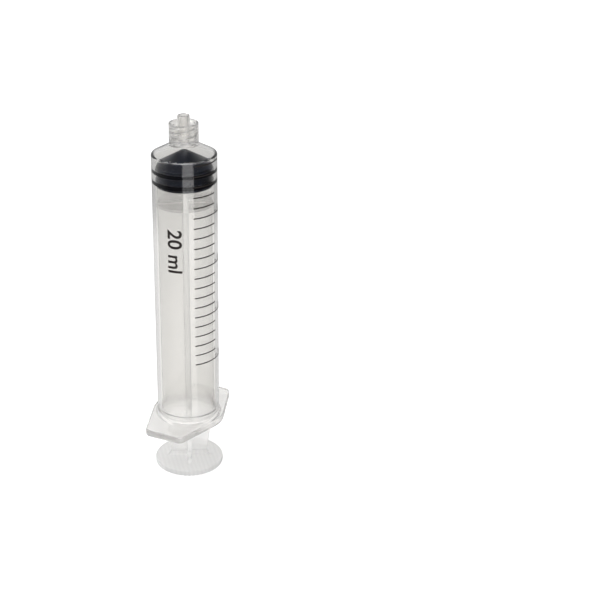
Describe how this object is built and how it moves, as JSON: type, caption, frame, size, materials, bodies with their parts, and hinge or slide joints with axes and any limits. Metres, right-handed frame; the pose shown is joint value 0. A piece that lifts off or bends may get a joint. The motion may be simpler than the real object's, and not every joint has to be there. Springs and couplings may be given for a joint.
{
  "type": "luer lock syringe",
  "caption": "Three-piece disposable syringe with a clear graduated barrel, threaded luer collar, finger flange, cross-bladed plunger rod and black rubber stopper.",
  "frame": {"origin": "centre of the thumb face, at the bottom of the standing syringe", "axes": "+Z along the barrel from the thumb rest to the luer tip; X and Y along the plunger rod's crossed blades"},
  "size_m": [0.0302, 0.039, 0.1272],
  "materials": {
    "barrel_plastic": "gloss",
    "scale_ink": "matte",
    "rod_plastic": "satin",
    "stopper_rubber": "satin"
  },
  "bodies": {
    "plunger": {"plunger_rod": "rod_plastic"},
    "seal": {"stopper": "stopper_rubber"},
    "barrel": {"barrel": "barrel_plastic", "printed_scale": "scale_ink"}
  },
  "joints": [
    {"name": "rod_swivel", "type": "hinge", "parent": "plunger", "child": "seal", "pos_m": [0, 0, 0.1041], "axis": [0, 0, 1], "continuous": true},
    {"name": "plunger_slide", "type": "slide", "parent": "seal", "child": "barrel", "axis": [0, 0, 1], "range_m": [-0.0032, 0.075]}
  ]
}
